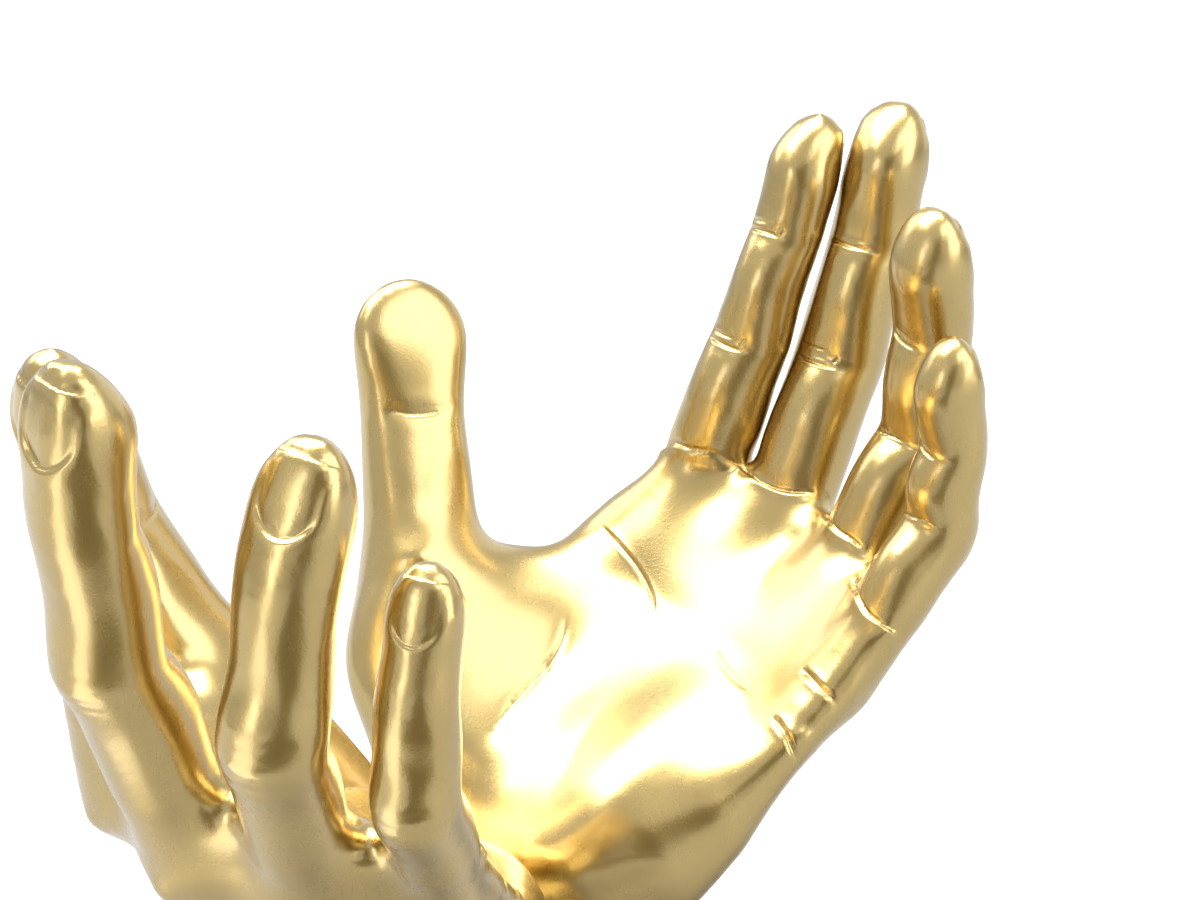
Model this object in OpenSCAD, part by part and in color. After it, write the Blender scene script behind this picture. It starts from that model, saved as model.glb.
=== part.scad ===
// Two open hands that stand on their joined wrists, with the palms facing each other like a bowl.
// The seam between the hands is the plane x = 0, the left hand is at +X, and the foot rests on z = 0.

/* [Hand pose] */
// Lean of each hand away from upright, in degrees
hand_lean = 54; // [46:1:62]
// Roll that lowers the little finger's side, in degrees
hand_roll = 15; // [8:1:22]
// Turn about the upright axis, in degrees
hand_turn = -7; // [-12:1:0]
// Distance of the wrist's centre from the seam
wrist_out = 15; // [12:1:20]
// Height of the wrist's centre above the foot's rim
wrist_up = 42; // [38:1:54]

/* [Palm] */
// Wrist centre to the middle finger's knuckle
palm_len = 87; // [80:1:94]
// Sideways places of the index, middle, ring and little knuckles
knuckle_x = [-29, -7, 16, 35]; // [-40:1:40]
// How far the little knuckle lies short of the middle one
knuckle_fall = 15; // [10:1:20]
// Rise of the little knuckle towards the palm
cup_little = 14.5; // [8:1:20]
// Rise of the index knuckle towards the palm
cup_index = 3; // [0:0.5:6]
// Half width of the wrist
wrist_half_w = 27; // [24:0.5:30]
// Half thickness of the wrist
wrist_half_t = 18; // [15:0.5:20]
// Flesh beside the index knuckle's centre
index_side = 13; // [10:0.5:15]
// Flesh beside the little knuckle's centre
little_side = 8; // [7:0.5:11]
// Half thickness of the palm at the knuckles
palm_half_t = 10.5; // [9:0.5:12]
// Swell of the palm's little finger side
heel_swell = 8; // [2:0.5:10]
// How far the palm runs past the knuckles, up to the finger creases
palm_past = 18; // [14:0.5:20]

/* [Fingers] */
// Index bones, from knuckle to tip
index_bones = [45, 26, 25]; // [18:0.5:56]
// Middle finger's bones, from knuckle to tip
middle_bones = [49, 30, 27]; // [18:0.5:56]
// Ring finger's bones, from knuckle to tip
ring_bones = [45, 27, 26]; // [18:0.5:56]
// Little finger's bones, from knuckle to tip
little_bones = [36, 20, 24]; // [18:0.5:56]
// Index bends at its three joints, in degrees
index_bends = [38, -2, 2]; // [-5:1:60]
// Middle finger's bends at its three joints, in degrees
middle_bends = [28, 12, 6]; // [-5:1:60]
// Ring finger's bends at its three joints, in degrees
ring_bends = [27, 31, 8]; // [-5:1:60]
// Little finger's bends at its three joints, in degrees
little_bends = [21, 30, 13]; // [-5:1:60]
// Sideways spread of the four fingers, in degrees
finger_spread = [-7, -13, 0, 5]; // [-20:1:20]
// Roll of the four fingers towards the palm's centre, in degrees
finger_roll = [3, 1, -8, -16]; // [-20:1:5]
// Index half widths at its knuckle, middle joint and end joint
index_half_w = [9.6, 8.4, 7.8]; // [5:0.1:11]
// Middle finger's half widths at the same joints
middle_half_w = [10.2, 9.3, 8.8]; // [5:0.1:11]
// Ring finger's half widths at the same joints
ring_half_w = [9.7, 8.6, 8.5]; // [5:0.1:11]
// Little finger's half widths at the same joints
little_half_w = [8.3, 7.6, 7.6]; // [5:0.1:11]
// Swell of the pads between the finger creases
pad_swell = 0.9; // [0:0.1:1.5]

/* [Thumb] */
// Root of the thumb, sideways, along the hand and towards the palm
thumb_root = [-18, 6, 8]; // [-30:1:30]
// Thumb bones, from root to tip
thumb_bones = [47, 35, 30]; // [24:0.5:52]
// Bends at the thumb's two free joints, in degrees
thumb_bends = [19, 13]; // [0:1:45]
// Spread of the thumb away from the fingers, in degrees
thumb_spread = 54; // [46:1:62]
// Lift of the thumb towards the palm, in degrees
thumb_lift = 16; // [8:1:24]
// Turn of the thumb's pad towards the fingers, in degrees
thumb_turn = 33; // [20:1:46]
// Thumb half widths at its root, knuckle and end joint
thumb_half_w = [18, 13.2, 11.3]; // [8:0.1:20]
// Half thickness of the web between thumb and palm
web_half_t = 6; // [4.5:0.5:8]
// Sag of the web's free edge
web_sag = 16; // [8:1:20]

/* [Foot] */
// Width of the foot across the seam
foot_w = 76; // [72:1:88]
// Depth of the foot along the seam
foot_d = 62; // [58:1:74]
// Thickness of the felt pad
felt_t = 2; // [1:0.5:4]
// Felt pad's margin inside the foot's outline
felt_margin = 3; // [2:0.5:6]
// Thickness of the base plate
plate_t = 4; // [3:0.5:6]
// Rim of the casting round the base plate
rim_w = 7; // [5.5:0.5:8]
// Clearance of the pieces that are let into the castings
let_in_gap = 0.3; // [0.1:0.05:0.4]

/* [Hardware] */
// Ballast slug diameter
ballast_d = 22; // [16:1:24]
// Ballast slug length
ballast_len = 28; // [15:1:32]
// Distance of the ballast slugs from the seam
ballast_x = 19; // [18:0.5:21]
// Seam dowel diameter
dowel_d = 6; // [4:0.5:7]
// Seam dowel length
dowel_len = 24; // [16:1:30]
// Distance of the seam dowels from the middle of the foot
dowel_y = 18; // [17:0.5:20]
// Height of the seam dowels above the base plate
dowel_up = 20; // [18:1:24]
// Threaded insert's outside diameter
insert_d = 7; // [6:0.5:8]
// Threaded insert's length
insert_len = 10; // [7:0.5:11]
// Screw thread diameter
screw_d = 5; // [4:0.5:5]
// Screw head diameter
screw_head_d = 9; // [7.5:0.5:9.5]
// Screw length, head included
screw_len = 13; // [10:0.5:14]
// Distance of the screws from the seam
screw_x = 17; // [16:0.5:19]
// Distance of the screws from the middle of the foot
screw_y = 16.5; // [16.5:0.5:17.5]

/* [Hidden] */
gold = [0.80, 0.65, 0.34];
iron = [0.30, 0.30, 0.31];
steel = [0.70, 0.71, 0.73];
brass = [0.78, 0.62, 0.28];
plate_paint = [0.12, 0.12, 0.13];
felt_green = [0.16, 0.22, 0.17];
finger_sides = 18;
palm_sides = 60;
round_fn = 64;
// crown of the knuckle line, just beside the middle finger
crown_x = knuckle_x[1] + 1;
// the middle knuckle lies towards the back of the hand
knuckle_sink = 1;
// bend at a joint is spread over this length on either side
bend_soft = 6;
// flesh between the fingers' roots: its least half thickness and its width
ridge_low = 5;
ridge_gap = 1.5;
// the palm's heel is rounded off in shares of the palm's length, up to a flat end
heel_end = 0.08;
heel_round = 0.2;
heel_cut = 0.97;
// length of finger that is sunk in the palm, how far it tapers there, and where the taper ends
finger_sunk = 14;
root_taper = 0.4;
root_reach = 6;
// thickness of the fingers and of the thumb, as shares of their widths
finger_thick = 0.97;
thumb_thick = 0.92;
// dome of a fingertip: its length in half widths, and the angle where it is cut off
tip_len = 1.7;
tip_angle = 84;
// half length of the swelling at a finger's middle joint
joint_reach = 9;
// the palm folds into the fingers from this share of its length, over this share
fold_from = 0.9;
fold_over = 0.2;
// the fingers' roots begin to stand out as ridges from this share, over this share
ridge_from = 0.75;
ridge_over = 0.4;
// the palm thins inside the fingers from this share, by these shares on its inside and its back
thin_from = 0.97;
thin_inner = 0.15;
thin_back = 0.45;
// the palm's fall in half thickness beyond the wrist, on its inside and its back
inner_fall = 4;
back_fall = 3;
// the little finger's side of the palm swells from this share of its length, over this share
swell_from = -0.25;
swell_over = 1.05;
// rounding of the palm's edges at the wrist and between the fingers
edge_power = 0.7;
edge_steep = 2.2;
// how far the palm's thumb side and little finger's side are tucked in beyond and before the knuckles
thumb_tuck = 8;
index_tuck = 1;
little_tuck = 4;
// the web runs this far along the thumb past its first bone
web_past = 8;
// place inside the palm that the web grows from, as a share of the palm's length
web_heart = 0.45;
// the wrist starts this far inside the palm, and turns down at this share of its distance from the seam
// and this far below its centre
wrist_sunk = 10;
wrist_lean = 0.8;
wrist_drop = 12;
screw_gap = 0.1;
insert_bore = screw_d + 2 * screw_gap;
plate_z = felt_t + plate_t;
// depth of the ballast bore from the foot's rim
ballast_hole = plate_t + ballast_len + let_in_gap;
// length of a dowel bore through both castings
dowel_hole = dowel_len + let_in_gap;
cut_reach = 400;

// Vector helpers
function unit(v) = v / norm(v);
function mix(a, b, t) = a + (b - a) * t;
function ease(t) = let (c = min(1, max(0, t))) c * c * (3 - 2 * c);
function hump(t) = t <= 0 || t >= 1 ? 0 : pow(sin(180 * t), 2);

// Hand coordinates are sideways to the little finger, along the hand, and out of the palm
function lean(p) = [
    p.x * cos(hand_lean) + p.z * sin(hand_lean),
    p.y,
    p.z * cos(hand_lean) - p.x * sin(hand_lean)];
function roll(p) = [
    p.x,
    p.y * cos(hand_roll) - p.z * sin(hand_roll),
    p.y * sin(hand_roll) + p.z * cos(hand_roll)];
function turn(p) = [
    p.x * cos(hand_turn) - p.y * sin(hand_turn),
    p.x * sin(hand_turn) + p.y * cos(hand_turn),
    p.z];
function aim(h) = turn(roll(lean([-h.z, -h.x, h.y])));
wrist = [wrist_out, 0, felt_t + wrist_up];
function place(h) = wrist + aim(h);

// Knuckle line: its place along the hand and its rise, at any place across
function knuckle_y(x) = palm_len - knuckle_fall * pow((x - crown_x) / (knuckle_x[3] - crown_x), 2);
function knuckle_z(x) = x > knuckle_x[1]
    ? cup_little * pow((x - knuckle_x[1]) / (knuckle_x[3] - knuckle_x[1]), 2) - knuckle_sink
    : cup_index * pow((x - knuckle_x[1]) / (knuckle_x[0] - knuckle_x[1]), 2) - knuckle_sink;
function across(x, values) = lookup(x, [for (i = [0:3]) [knuckle_x[i], values[i]]]);
first_bends = [index_bends[0], middle_bends[0], ring_bends[0], little_bends[0]];

// Closed skin over a list of rings that all have the same number of points
module skin(rings) {
    n = len(rings[0]);
    last = len(rings) - 1;
    sides = [for (i = [0:last - 1], j = [0:n - 1]) let (k = (j + 1) % n)
        each [[i * n + j, i * n + k, (i + 1) * n + k], [i * n + j, (i + 1) * n + k, (i + 1) * n + j]]];
    start = [for (j = [n - 1:-1:0]) j];
    end = [for (j = [0:n - 1]) last * n + j];
    polyhedron([for (r = rings, p = r) p], concat(sides, [start, end]), convexity = 6);
}

// Angle of a finger at a length from its root, where joints lists the joints' lengths
function bend_at(s, joints, bends) =
    [for (i = [0:2]) bends[i] * ease(((s - joints[i]) / bend_soft + 1) / 2)] * [1, 1, 1];

// Path of a finger in its own plane, as lists of length, along and towards the palm
function bend_path(joints, bends, length) = [
    for (s = -finger_sunk, y = -finger_sunk, z = 0; s <= length;
         y = y + cos(bend_at(s + 0.5, joints, bends)),
         z = z + sin(bend_at(s + 0.5, joints, bends)),
         s = s + 1) [s, y, z]];

// One digit: base point, directions along it and out of its pad, bones, bends and half widths
module digit(base, along, pad, bones, bends, half_w, thick, swell) {
    joints = [0, bones[0], bones[0] + bones[1]];
    length = bones[0] + bones[1] + bones[2];
    cap = half_w[2] * tip_len;
    side = cross(along, pad);
    path = bend_path(joints, bends, length);
    path_y = [for (p = path) [p[0], p[1]]];
    path_z = [for (p = path) [p[0], p[2]]];
    widths = [[-finger_sunk, half_w[0] * root_taper], [root_reach, half_w[0]], [joints[1], half_w[1]],
              [joints[2], half_w[2]]];
    body = 20;
    ends = 6;
    stations = concat([for (i = [0:body]) mix(-finger_sunk, length - cap, i / body)],
                      [for (i = [1:ends]) length - cap * (1 - sin(tip_angle * i / ends))]);
    skin([for (s = stations)
        let (a = bend_at(s, joints, bends),
             out = cos(a) * pad - sin(a) * along,
             past = max(0, (s - length + cap) / cap),
             w = lookup(s, widths) * sqrt(1 - past * past),
             pads = swell * (hump(s / joints[1] * 2 - 1) + hump((s - joints[1]) / bones[1])
                             + hump((s - joints[2]) / bones[2])),
             knuckle = swell * hump((s - joints[1]) / joint_reach / 2 + 0.5),
             mid = base + lookup(s, path_y) * along + lookup(s, path_z) * pad)
        [for (j = [0:finger_sides - 1])
            let (c = cos(360 * j / finger_sides), d = sin(360 * j / finger_sides))
            place(mid + side * w * c + out * (d > 0 ? w * thick + pads : w * thick + knuckle) * d)]]);
}

// One of the four fingers
module finger(i, bones, bends, half_w) {
    x = knuckle_x[i];
    spread = finger_spread[i];
    tilt = finger_roll[i];
    along = [sin(spread), cos(spread), 0];
    pad = [cos(spread) * sin(tilt), -sin(spread) * sin(tilt), cos(tilt)];
    digit([x, knuckle_y(x), knuckle_z(x)], along, pad, bones, bends, half_w, finger_thick, pad_swell);
}

// Directions along the thumb and out of its pad
thumb_along = [-sin(thumb_spread) * cos(thumb_lift), cos(thumb_spread) * cos(thumb_lift), sin(thumb_lift)];
thumb_side = unit(cross(thumb_along, [0, 0, 1]));
thumb_pad = cos(thumb_turn) * cross(thumb_side, thumb_along) + sin(thumb_turn) * thumb_side;

module thumb() {
    digit(thumb_root, thumb_along, thumb_pad, thumb_bones, concat([0], thumb_bends), thumb_half_w,
          thumb_thick, pad_swell);
}

// Point on the palm's middle surface, at a place across and a share of the way to the knuckles
function palm_mid(x, v) =
    let (a = across(x, first_bends), b = across(x, finger_spread), past = max(0, v - 1) * palm_len)
    [x + past * cos(a) * sin(b),
     min(v, 1) * knuckle_y(x) + past * cos(a) * cos(b),
     min(v, 1) * knuckle_z(x) + past * sin(a)];
function palm_out(x, v) =
    let (a = across(x, first_bends) * ease((v - fold_from) / fold_over),
         slope = min(v, 1) * (knuckle_z(x + 0.5) - knuckle_z(x - 0.5)))
    unit([-slope, -sin(a), cos(a)]);
palm_end = 1 + palm_past / palm_len;

// Share of the way from the flat palm to the ridges of the fingers' roots
function ridged(v) = ease((v - ridge_from) / ridge_over);
// Share of the way from the knuckles to the palm's thin end inside the fingers
function thinned(v) = ease((v - thin_from) / (palm_end - thin_from));
root_w = [index_half_w[0], middle_half_w[0], ring_half_w[0], little_half_w[0]];
function ridge(x) = max(concat([ridge_low], [for (i = [0:3])
    root_w[i] * sqrt(max(0, 1 - pow((x - knuckle_x[i]) / (root_w[i] + ridge_gap), 2)))]));
// Half thickness of the palm towards its inside and towards its back
function palm_inner(x, v) = mix(
    lookup(v, [[0, wrist_half_t], [0.35, wrist_half_t - inner_fall], [0.7, palm_half_t]])
        + heel_swell * hump((v - swell_from) / swell_over) * ease(x / wrist_half_w),
    ridge(x) * (1 - thin_inner * thinned(v)), ridged(v));
function palm_back(x, v) = mix(
    lookup(v, [[0, wrist_half_t], [0.4, wrist_half_t - back_fall], [1, palm_half_t]]),
    ridge(x) * (1 - thin_back * thinned(v)), ridged(v));
// Rounding of the palm's long edges and of its heel
function palm_edge(d, v) = mix(pow(d, edge_power), min(1, edge_steep * d), ridged(v));
function palm_heel(v) = v > heel_end ? 1 : sqrt(1 - pow((heel_end - v) / heel_round, 2));

module palm() {
    inner = knuckle_x[0] - index_side;
    outer = knuckle_x[3] + little_side;
    edges_in = [[0, -wrist_half_w], [0.45, inner + thumb_tuck], [ridge_from, inner + index_tuck],
                [1, inner + index_tuck], [palm_end, inner + thumb_tuck]];
    edges_out = [[0, wrist_half_w], [0.25, outer - little_tuck], [0.5, outer], [1, outer],
                 [palm_end, outer - little_tuck]];
    rows = 24;
    skin([for (i = [0:rows])
        let (v = mix(heel_end - heel_cut * heel_round, palm_end, i / rows),
             low = lookup(v, edges_in),
             high = lookup(v, edges_out),
             shrink = palm_heel(v))
        [for (j = [0:palm_sides - 1])
            let (c = cos(360 * j / palm_sides), d = sin(360 * j / palm_sides),
                 x = (low + high) / 2 + shrink * c * (high - low) / 2,
                 t = d > 0 ? palm_inner(x, v) * palm_edge(d, v) : -palm_back(x, v) * palm_edge(-d, v))
            place(palm_mid(x, v) + palm_out(x, v) * t * shrink)]]);
}

// Web of flesh between the thumb's root and the index knuckle
module web() {
    heart = [0, palm_len * web_heart, 0];
    thumb_end = thumb_root + thumb_along * (thumb_bones[0] + web_past);
    index_end = palm_mid(knuckle_x[0] - index_side + web_half_t, 1);
    steps = 5;
    edge = [for (i = [0:steps])
        let (t = i / steps, p = mix(thumb_end, index_end, t))
        p + unit(heart - p) * web_sag * 4 * t * (1 - t)];
    for (i = [0:steps - 1])
        hull()
            for (p = [edge[i], edge[i + 1], heart])
                translate(place(p))
                    sphere(r = web_half_t, $fn = 14);
}

// Wrist that turns down from the palm into the foot's oval
module forearm() {
    top = place([0, wrist_sunk, 0]);
    knee = [wrist_out * wrist_lean, 0, wrist.z - wrist_drop];
    foot = [0, 0, 0];
    rows = 12;
    skin([for (i = [rows:-1:0])
        let (t = i / rows,
             mid = mix(mix(top, knee, t), mix(knee, foot, t), t),
             wide = mix(aim([wrist_half_w, 0, 0]), [0, -foot_d / 2, 0], ease(t)),
             deep = mix(aim([0, 0, wrist_half_t]), [-foot_w / 2, 0, 0], ease(t)))
        [for (j = [0:palm_sides - 1])
            mid + wide * cos(360 * j / palm_sides) + deep * sin(360 * j / palm_sides)]]);
}

// Outside of the left casting, cut flat at the seam and at the foot's rim
module left_skin() {
    resize([0, 0, 0])
        intersection() {
            union() {
                palm();
                forearm();
                web();
                thumb();
                finger(0, index_bones, index_bends, index_half_w);
                finger(1, middle_bones, middle_bends, middle_half_w);
                finger(2, ring_bones, ring_bends, ring_half_w);
                finger(3, little_bones, little_bends, little_half_w);
            }
            translate([0, -cut_reach / 2, felt_t])
                cube(cut_reach);
        }
}

// Flat stadium that keeps an even margin inside the foot's oval
module stadium(margin, height) {
    r = foot_d / 2 - margin;
    reach = foot_w / 2 - margin - r;
    for (s = [-1, 1])
        translate([s * reach, 0, 0])
            cylinder(r = r, h = height, $fn = round_fn);
    translate([-reach, -r, 0])
        cube([2 * reach, 2 * r, height]);
}

module at_screws(sides) {
    for (sx = sides, sy = [-1, 1])
        translate([sx * screw_x, sy * screw_y, 0])
            children();
}

module at_dowels() {
    for (s = [-1, 1])
        translate([0, s * dowel_y, plate_z + dowel_up])
            rotate([0, 90, 0])
                children();
}

module left_casting() {
    difference() {
        left_skin();
        translate([0, 0, felt_t - 1])
            stadium(rim_w - let_in_gap, plate_t + 1);
        translate([ballast_x, 0, felt_t])
            cylinder(d = ballast_d + 2 * let_in_gap, h = ballast_hole, $fn = round_fn);
        at_dowels()
            cylinder(d = dowel_d + let_in_gap / 2, h = dowel_hole, center = true, $fn = round_fn);
        at_screws([1])
            translate([0, 0, felt_t])
                cylinder(d = insert_d + let_in_gap / 2, h = plate_t + screw_len, $fn = round_fn);
    }
}

module left_hand() {
    color(gold)
        left_casting();
}

module right_hand() {
    color(gold)
        mirror([1, 0, 0])
            left_casting();
}

module seam_dowels() {
    color(steel)
        at_dowels()
            cylinder(d = dowel_d, h = dowel_len, center = true, $fn = round_fn);
}

module ballast(side) {
    color(iron)
        translate([side * ballast_x, 0, plate_z])
            cylinder(d = ballast_d, h = ballast_len, $fn = round_fn);
}

module left_ballast() {
    ballast(1);
}

module right_ballast() {
    ballast(-1);
}

module inserts(side) {
    color(brass)
        at_screws([side])
            translate([0, 0, plate_z])
                difference() {
                    cylinder(d = insert_d, h = insert_len, $fn = round_fn);
                    translate([0, 0, -1])
                        cylinder(d = insert_bore, h = insert_len + 2, $fn = round_fn);
                }
}

module left_inserts() {
    inserts(1);
}

module right_inserts() {
    inserts(-1);
}

// Countersunk screw, head down, with its head flush with the plate's underside
module screw(gap) {
    head_h = (screw_head_d - screw_d) / 2;
    cylinder(d1 = screw_head_d + 2 * gap, d2 = screw_d + 2 * gap, h = head_h, $fn = round_fn);
    cylinder(d = screw_d + 2 * gap, h = screw_len, $fn = round_fn);
}

module base_plate() {
    color(plate_paint)
        difference() {
            translate([0, 0, felt_t])
                stadium(rim_w, plate_t);
            at_screws([-1, 1])
                translate([0, 0, felt_t])
                    screw(screw_gap);
        }
}

module base_screws() {
    color(steel)
        at_screws([-1, 1])
            translate([0, 0, felt_t])
                screw(0);
}

module felt_pad() {
    color(felt_green)
        stadium(felt_margin, felt_t);
}

left_hand();
right_hand();
seam_dowels();
left_ballast();
right_ballast();
left_inserts();
right_inserts();
base_plate();
base_screws();
felt_pad();
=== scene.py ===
from math import atan2, cos, hypot, pi, radians, sin
import bpy
import numpy as np
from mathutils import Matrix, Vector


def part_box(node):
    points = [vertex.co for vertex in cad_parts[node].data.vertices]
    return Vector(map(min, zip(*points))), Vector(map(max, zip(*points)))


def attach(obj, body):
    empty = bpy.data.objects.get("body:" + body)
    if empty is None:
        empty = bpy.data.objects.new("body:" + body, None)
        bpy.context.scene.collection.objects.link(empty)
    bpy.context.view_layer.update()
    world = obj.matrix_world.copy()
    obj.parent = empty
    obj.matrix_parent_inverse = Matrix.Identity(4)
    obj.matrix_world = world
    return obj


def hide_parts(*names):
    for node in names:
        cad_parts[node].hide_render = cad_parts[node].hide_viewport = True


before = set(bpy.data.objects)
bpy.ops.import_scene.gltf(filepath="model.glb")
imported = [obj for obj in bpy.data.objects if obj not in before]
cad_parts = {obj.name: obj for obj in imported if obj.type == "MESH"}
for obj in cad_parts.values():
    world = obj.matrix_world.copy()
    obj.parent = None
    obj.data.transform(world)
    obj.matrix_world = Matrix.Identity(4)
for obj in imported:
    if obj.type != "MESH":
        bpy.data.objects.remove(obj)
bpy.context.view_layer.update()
print("frame loaded:", len(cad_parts), "nodes")

# Hand coordinates are in mm: towards the little finger, along the hand, out of the palm

handPose = {
    "lean": 54,  # degrees away from upright
    "roll": 15,  # degrees, lowers the little finger's side
    "turn": -7,  # degrees about the upright axis
    "wrist": (15, 0, 44),  # mm in the part's frame
}

palmShape = {
    "length": 87,  # wrist to the middle knuckle
    "knucklesAcross": (-29, -7, 16, 35),  # index, middle, ring, little
    "fall": 15,  # the little knuckle lies this far back
    "cupLittle": 14.5,  # rise of the little knuckle
    "cupIndex": 3,  # rise of the index knuckle
    "sink": 1,
}

digitShapes = {
    "index": {"bones": (45, 26, 25), "bends": (38, -2, 2), "spread": -7, "roll": 3, "radii": (9.6, 8.4, 7.8)},
    "middle": {"bones": (49, 30, 27), "bends": (28, 12, 6), "spread": -13, "roll": 1, "radii": (10.2, 9.3, 8.8)},
    "ring": {"bones": (45, 27, 26), "bends": (27, 31, 8), "spread": 0, "roll": -8, "radii": (9.7, 8.6, 8.5)},
    "little": {"bones": (36, 20, 24), "bends": (21, 30, 13), "spread": 5, "roll": -16, "radii": (8.3, 7.6, 7.6)},
    "thumb": {"bones": (47, 35, 30), "bends": (0, 19, 13), "spread": 54, "lift": 16, "turn": 33,
              "root": (-18, 6, 8), "radii": (18, 13.2, 11.3)},
}
fingerNames = ("index", "middle", "ring", "little")
bendSoft = 6  # a bend is spread over this length on either side of its joint
rootAt = 6  # a digit has its first radius this far along
axisStep = 0.5  # mm between the points of a centre line


def turnAbout(axis, degrees):
    c, s = cos(radians(degrees)), sin(radians(degrees))
    i, j = ((1, 2), (2, 0), (0, 1))[axis]
    matrix = np.eye(3)
    matrix[i, i], matrix[i, j], matrix[j, i], matrix[j, j] = c, -s, s, c
    return matrix


uprightHand = np.array([[0, 0, -1], [-1, 0, 0], [0, 1, 0]], float)
handAim = (turnAbout(2, handPose["turn"]) @ turnAbout(0, handPose["roll"])
           @ turnAbout(1, handPose["lean"]) @ uprightHand)


def toHand(points):
    return (points * 1000 - np.array(handPose["wrist"])) @ handAim


def fromHand(places):
    return (places @ handAim.T + np.array(handPose["wrist"])) / 1000


def ease(t):
    c = np.clip(t, 0, 1)
    return c * c * (3 - 2 * c)


def unit(v):
    return v / np.linalg.norm(v)


def knuckle(across):
    x = palmShape["knucklesAcross"]
    crown = x[1] + 1
    along = palmShape["length"] - palmShape["fall"] * ((across - crown) / (x[3] - crown)) ** 2
    end, rise = (x[3], palmShape["cupLittle"]) if across > x[1] else (x[0], palmShape["cupIndex"])
    return np.array([across, along, rise * ((across - x[1]) / (end - x[1])) ** 2 - palmShape["sink"]])


def digitAxis(name):
    # centre line of a digit with its directions along it, out of its pad and sideways
    shape = digitShapes[name]
    if name == "thumb":
        spread, lift, turn = (radians(shape[k]) for k in ("spread", "lift", "turn"))
        base = np.array(shape["root"], float)
        along = np.array([-sin(spread) * cos(lift), cos(spread) * cos(lift), sin(lift)])
        beside = unit(np.cross(along, (0, 0, 1)))
        pad = cos(turn) * np.cross(beside, along) + sin(turn) * beside
    else:
        spread, roll = radians(shape["spread"]), radians(shape["roll"])
        base = knuckle(palmShape["knucklesAcross"][fingerNames.index(name)])
        along = np.array([sin(spread), cos(spread), 0])
        pad = np.array([cos(spread) * sin(roll), -sin(spread) * sin(roll), cos(roll)])
    joints = np.array([0, shape["bones"][0], shape["bones"][0] + shape["bones"][1]])
    length = sum(shape["bones"])
    s = np.arange(0, length + axisStep / 2, axisStep)
    angle = sum(radians(b) * ease(((s - j) / bendSoft + 1) / 2) for j, b in zip(joints, shape["bends"]))
    step = np.column_stack([np.cos(angle), np.sin(angle)]) * axisStep
    way = np.vstack([[0, 0], np.cumsum(step[:-1], axis=0)])
    return {
        "s": s, "length": length, "joints": joints,
        "mid": base + np.outer(way[:, 0], along) + np.outer(way[:, 1], pad),
        "along": np.outer(np.cos(angle), along) + np.outer(np.sin(angle), pad),
        "out": np.outer(np.cos(angle), pad) - np.outer(np.sin(angle), along),
        "side": np.cross(along, pad),
        "halfWidth": np.interp(s, [rootAt, joints[1], joints[2]], shape["radii"]),
    }


axes = {name: digitAxis(name) for name in digitShapes}


# Mesh helpers

tinyGap = 1e-6  # metres within which two places count as one
farAway = 99.0  # mm, where a distance has no meaning
nearDigit = 24  # mm round a digit's centre line within which vertices are measured
batch = 8000  # vertices measured at a time
ownSoft = 3  # mm over which a digit passes into the next one
ownReach = 6  # mm off its skin within which a digit counts


def readAll(items, key, size=1, kind=np.int32):
    flat = np.empty(len(items) * size, kind)
    items.foreach_get(key, flat)
    return flat.reshape(-1, size)


def readPoints(piece):
    return readAll(piece.data.vertices, "co", 3, np.float32).astype(float)


def readNormals(piece):
    return readAll(piece.data.vertex_normals, "vector", 3, np.float32).astype(float)


def writePoints(piece, points):
    piece.data.vertices.foreach_set("co", points.astype(np.float32).ravel())
    piece.data.update()


def newObject(name, data):
    thing = bpy.data.objects.new(name, data)
    bpy.context.scene.collection.objects.link(thing)
    return thing


def setMode(mode):
    bpy.ops.object.mode_set(mode=mode)


def pickPiece(piece):
    bpy.ops.object.select_all(action="DESELECT")
    piece.select_set(True)
    bpy.context.view_layer.objects.active = piece


def applyModifier(piece, kind, **settings):
    pickPiece(piece)
    modifier = piece.modifiers.new(kind.lower(), kind)
    for key, value in settings.items():
        setattr(modifier, key, value)
    bpy.ops.object.modifier_apply(modifier=modifier.name)


def editAll(piece):
    pickPiece(piece)
    setMode("EDIT")
    bpy.ops.mesh.select_all(action="SELECT")


def mergePoints(piece):
    editAll(piece)
    bpy.ops.mesh.remove_doubles(threshold=tinyGap)
    bpy.ops.mesh.dissolve_degenerate(threshold=tinyGap / 10)
    setMode("OBJECT")


def refine(piece, near):
    # halves the faces that touch the marked vertices
    pickPiece(piece)
    corners = readAll(piece.data.loops, "vertex_index")[:, 0]
    starts = readAll(piece.data.polygons, "loop_start")[:, 0]
    chosen = np.maximum.reduceat(near[corners].astype(np.int8), starts).astype(bool)
    setMode("EDIT")
    bpy.ops.mesh.select_mode(type="FACE")
    bpy.ops.mesh.select_all(action="DESELECT")
    setMode("OBJECT")
    piece.data.polygons.foreach_set("select", chosen)
    setMode("EDIT")
    bpy.ops.mesh.subdivide(number_cuts=1, smoothness=1.0)
    setMode("OBJECT")


def soften(piece, weights, count, factors=(0.5,)):
    # each vertex moves towards the mean of its neighbours, or away for a negative factor
    size = len(piece.data.vertices)
    a, b = readAll(piece.data.edges, "vertices", 2).T
    degree = np.bincount(a, minlength=size) + np.bincount(b, minlength=size)
    points = readPoints(piece)
    for _ in range(count):
        for factor in factors:
            total = np.empty_like(points)
            for k in range(3):
                total[:, k] = np.bincount(a, points[b, k], size) + np.bincount(b, points[a, k], size)
            points += (total / degree[:, None] - points) * (weights * factor)[:, None]
    writePoints(piece, points)


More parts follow.
